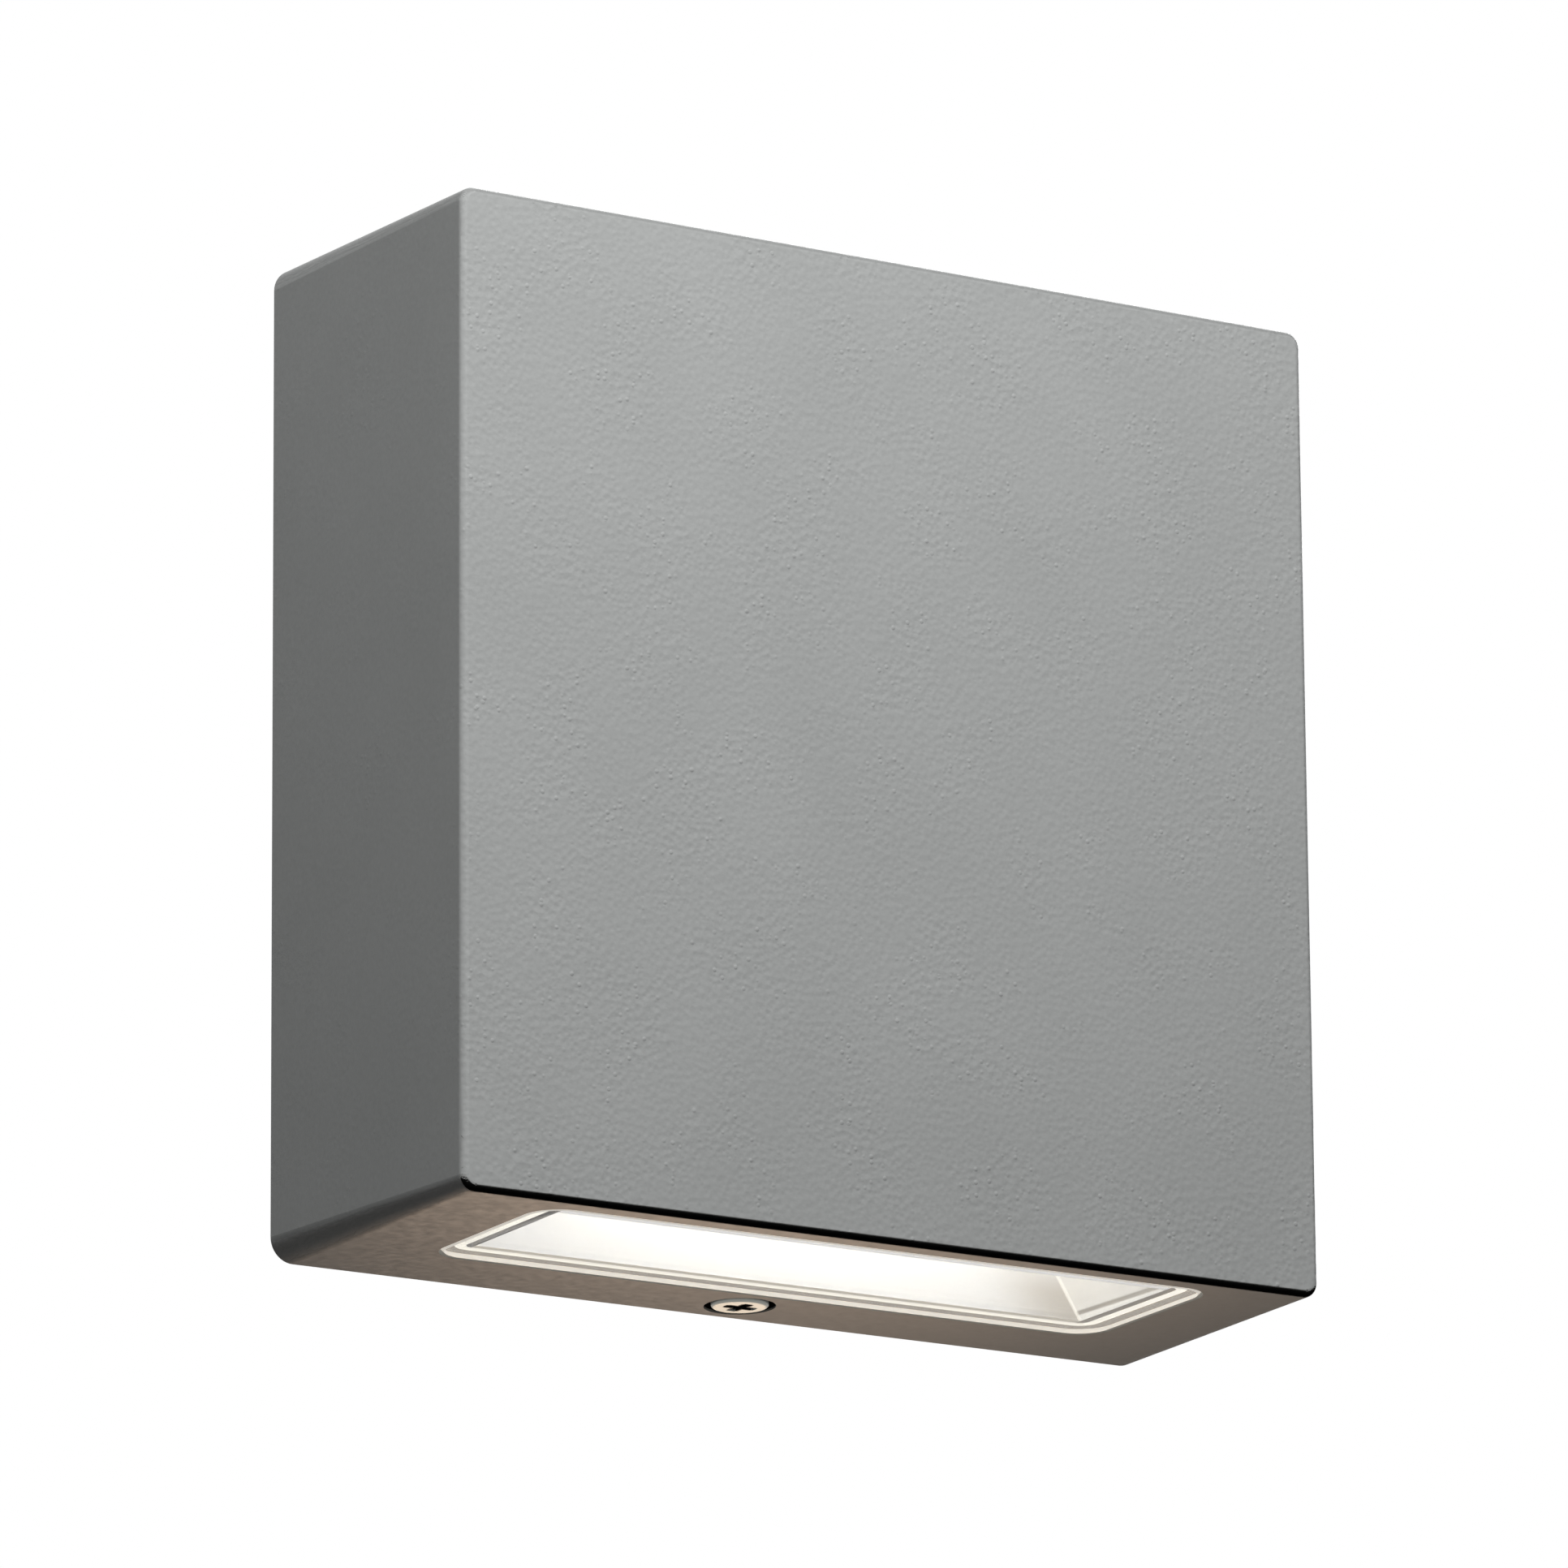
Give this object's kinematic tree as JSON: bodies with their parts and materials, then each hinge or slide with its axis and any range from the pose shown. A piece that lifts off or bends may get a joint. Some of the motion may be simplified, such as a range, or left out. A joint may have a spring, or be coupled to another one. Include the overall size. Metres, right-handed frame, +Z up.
{
  "type": "outdoor wall light",
  "caption": "Square die-cast outdoor wall light that hangs on a folded wall bracket and shines down through a flush glass window, held by a clamping screw underneath.",
  "frame": {"origin": "on the wall face of the bracket, midway between its two fixing slots", "axes": "+Y into the wall, +Z up, +X to the right seen from in front of the light"},
  "size_m": [0.14, 0.048, 0.1401],
  "materials": {
    "powder_coat": "die-cast, fine textured light grey powder coat",
    "foam_rubber": "matt black foam rubber",
    "window_glass": "clear toughened glass with polished edges",
    "silicone": "translucent white silicone",
    "white_reflector": "satin white reflector paint",
    "white_board": "white solder mask",
    "led_phosphor": "yellow phosphor, lit",
    "thermal_silicone": "soft thermal pad",
    "zinc_screw": "zinc plated",
    "nickel_screw": "nickel plated, warm",
    "nylon_washer": "black nylon",
    "black_plastic": "fine moulded texture",
    "white_plastic": "natural nylon",
    "brass_fitting": "plain brass",
    "tinned_brass": "tinned",
    "brown_wire": "brown insulation",
    "blue_wire": "blue insulation",
    "earth_wire": "green and yellow insulation",
    "red_wire": "red insulation",
    "black_wire": "black insulation",
    "zinc_sheet": "zinc plated sheet steel"
  },
  "bodies": {
    "bracket": {"wall_bracket": "zinc_sheet", "cable_grommet": "foam_rubber", "bracket_earth_screw": "brass_fitting"},
    "light": {"housing": "powder_coat", "rear_gasket": "foam_rubber", "glass_lens": "window_glass", "lens_gasket": "silicone", "reflector": "white_reflector", "led_board": "white_board", "led_chips": "led_phosphor", "thermal_pad": "thermal_silicone", "board_screws": "zinc_screw", "driver_case": "black_plastic", "driver_screws": "zinc_screw", "terminal_block": "white_plastic", "terminal_screws": "brass_fitting", "block_screws": "zinc_screw", "cord_clamp": "black_plastic", "clamp_screws": "zinc_screw", "earth_lug": "tinned_brass", "earth_screw": "brass_fitting", "live_wire": "brown_wire", "neutral_wire": "blue_wire", "earth_wire": "earth_wire", "led_wire_positive": "red_wire", "led_wire_negative": "black_wire", "lead_bush": "foam_rubber"},
    "washer": {"screw_washer": "nylon_washer"},
    "screw": {"retaining_screw": "nickel_screw"}
  },
  "joints": [
    {"name": "light_pull_off", "type": "slide", "parent": "bracket", "child": "light", "axis": [0, -1, 0], "range_m": [0, 0.06]},
    {"name": "screw_travel", "type": "slide", "parent": "light", "child": "washer", "axis": [0, 0, -1], "range_m": [0, 0.0042]},
    {"name": "screw_turn", "type": "hinge", "parent": "washer", "child": "screw", "pos_m": [0, -0.0067, -0.068], "axis": [0, 0, -1], "range_deg": [0, 2166]}
  ],
  "couplings": [
    {"joint": "screw_turn", "follows": "screw_travel", "rad_per_m": 8976}
  ]
}
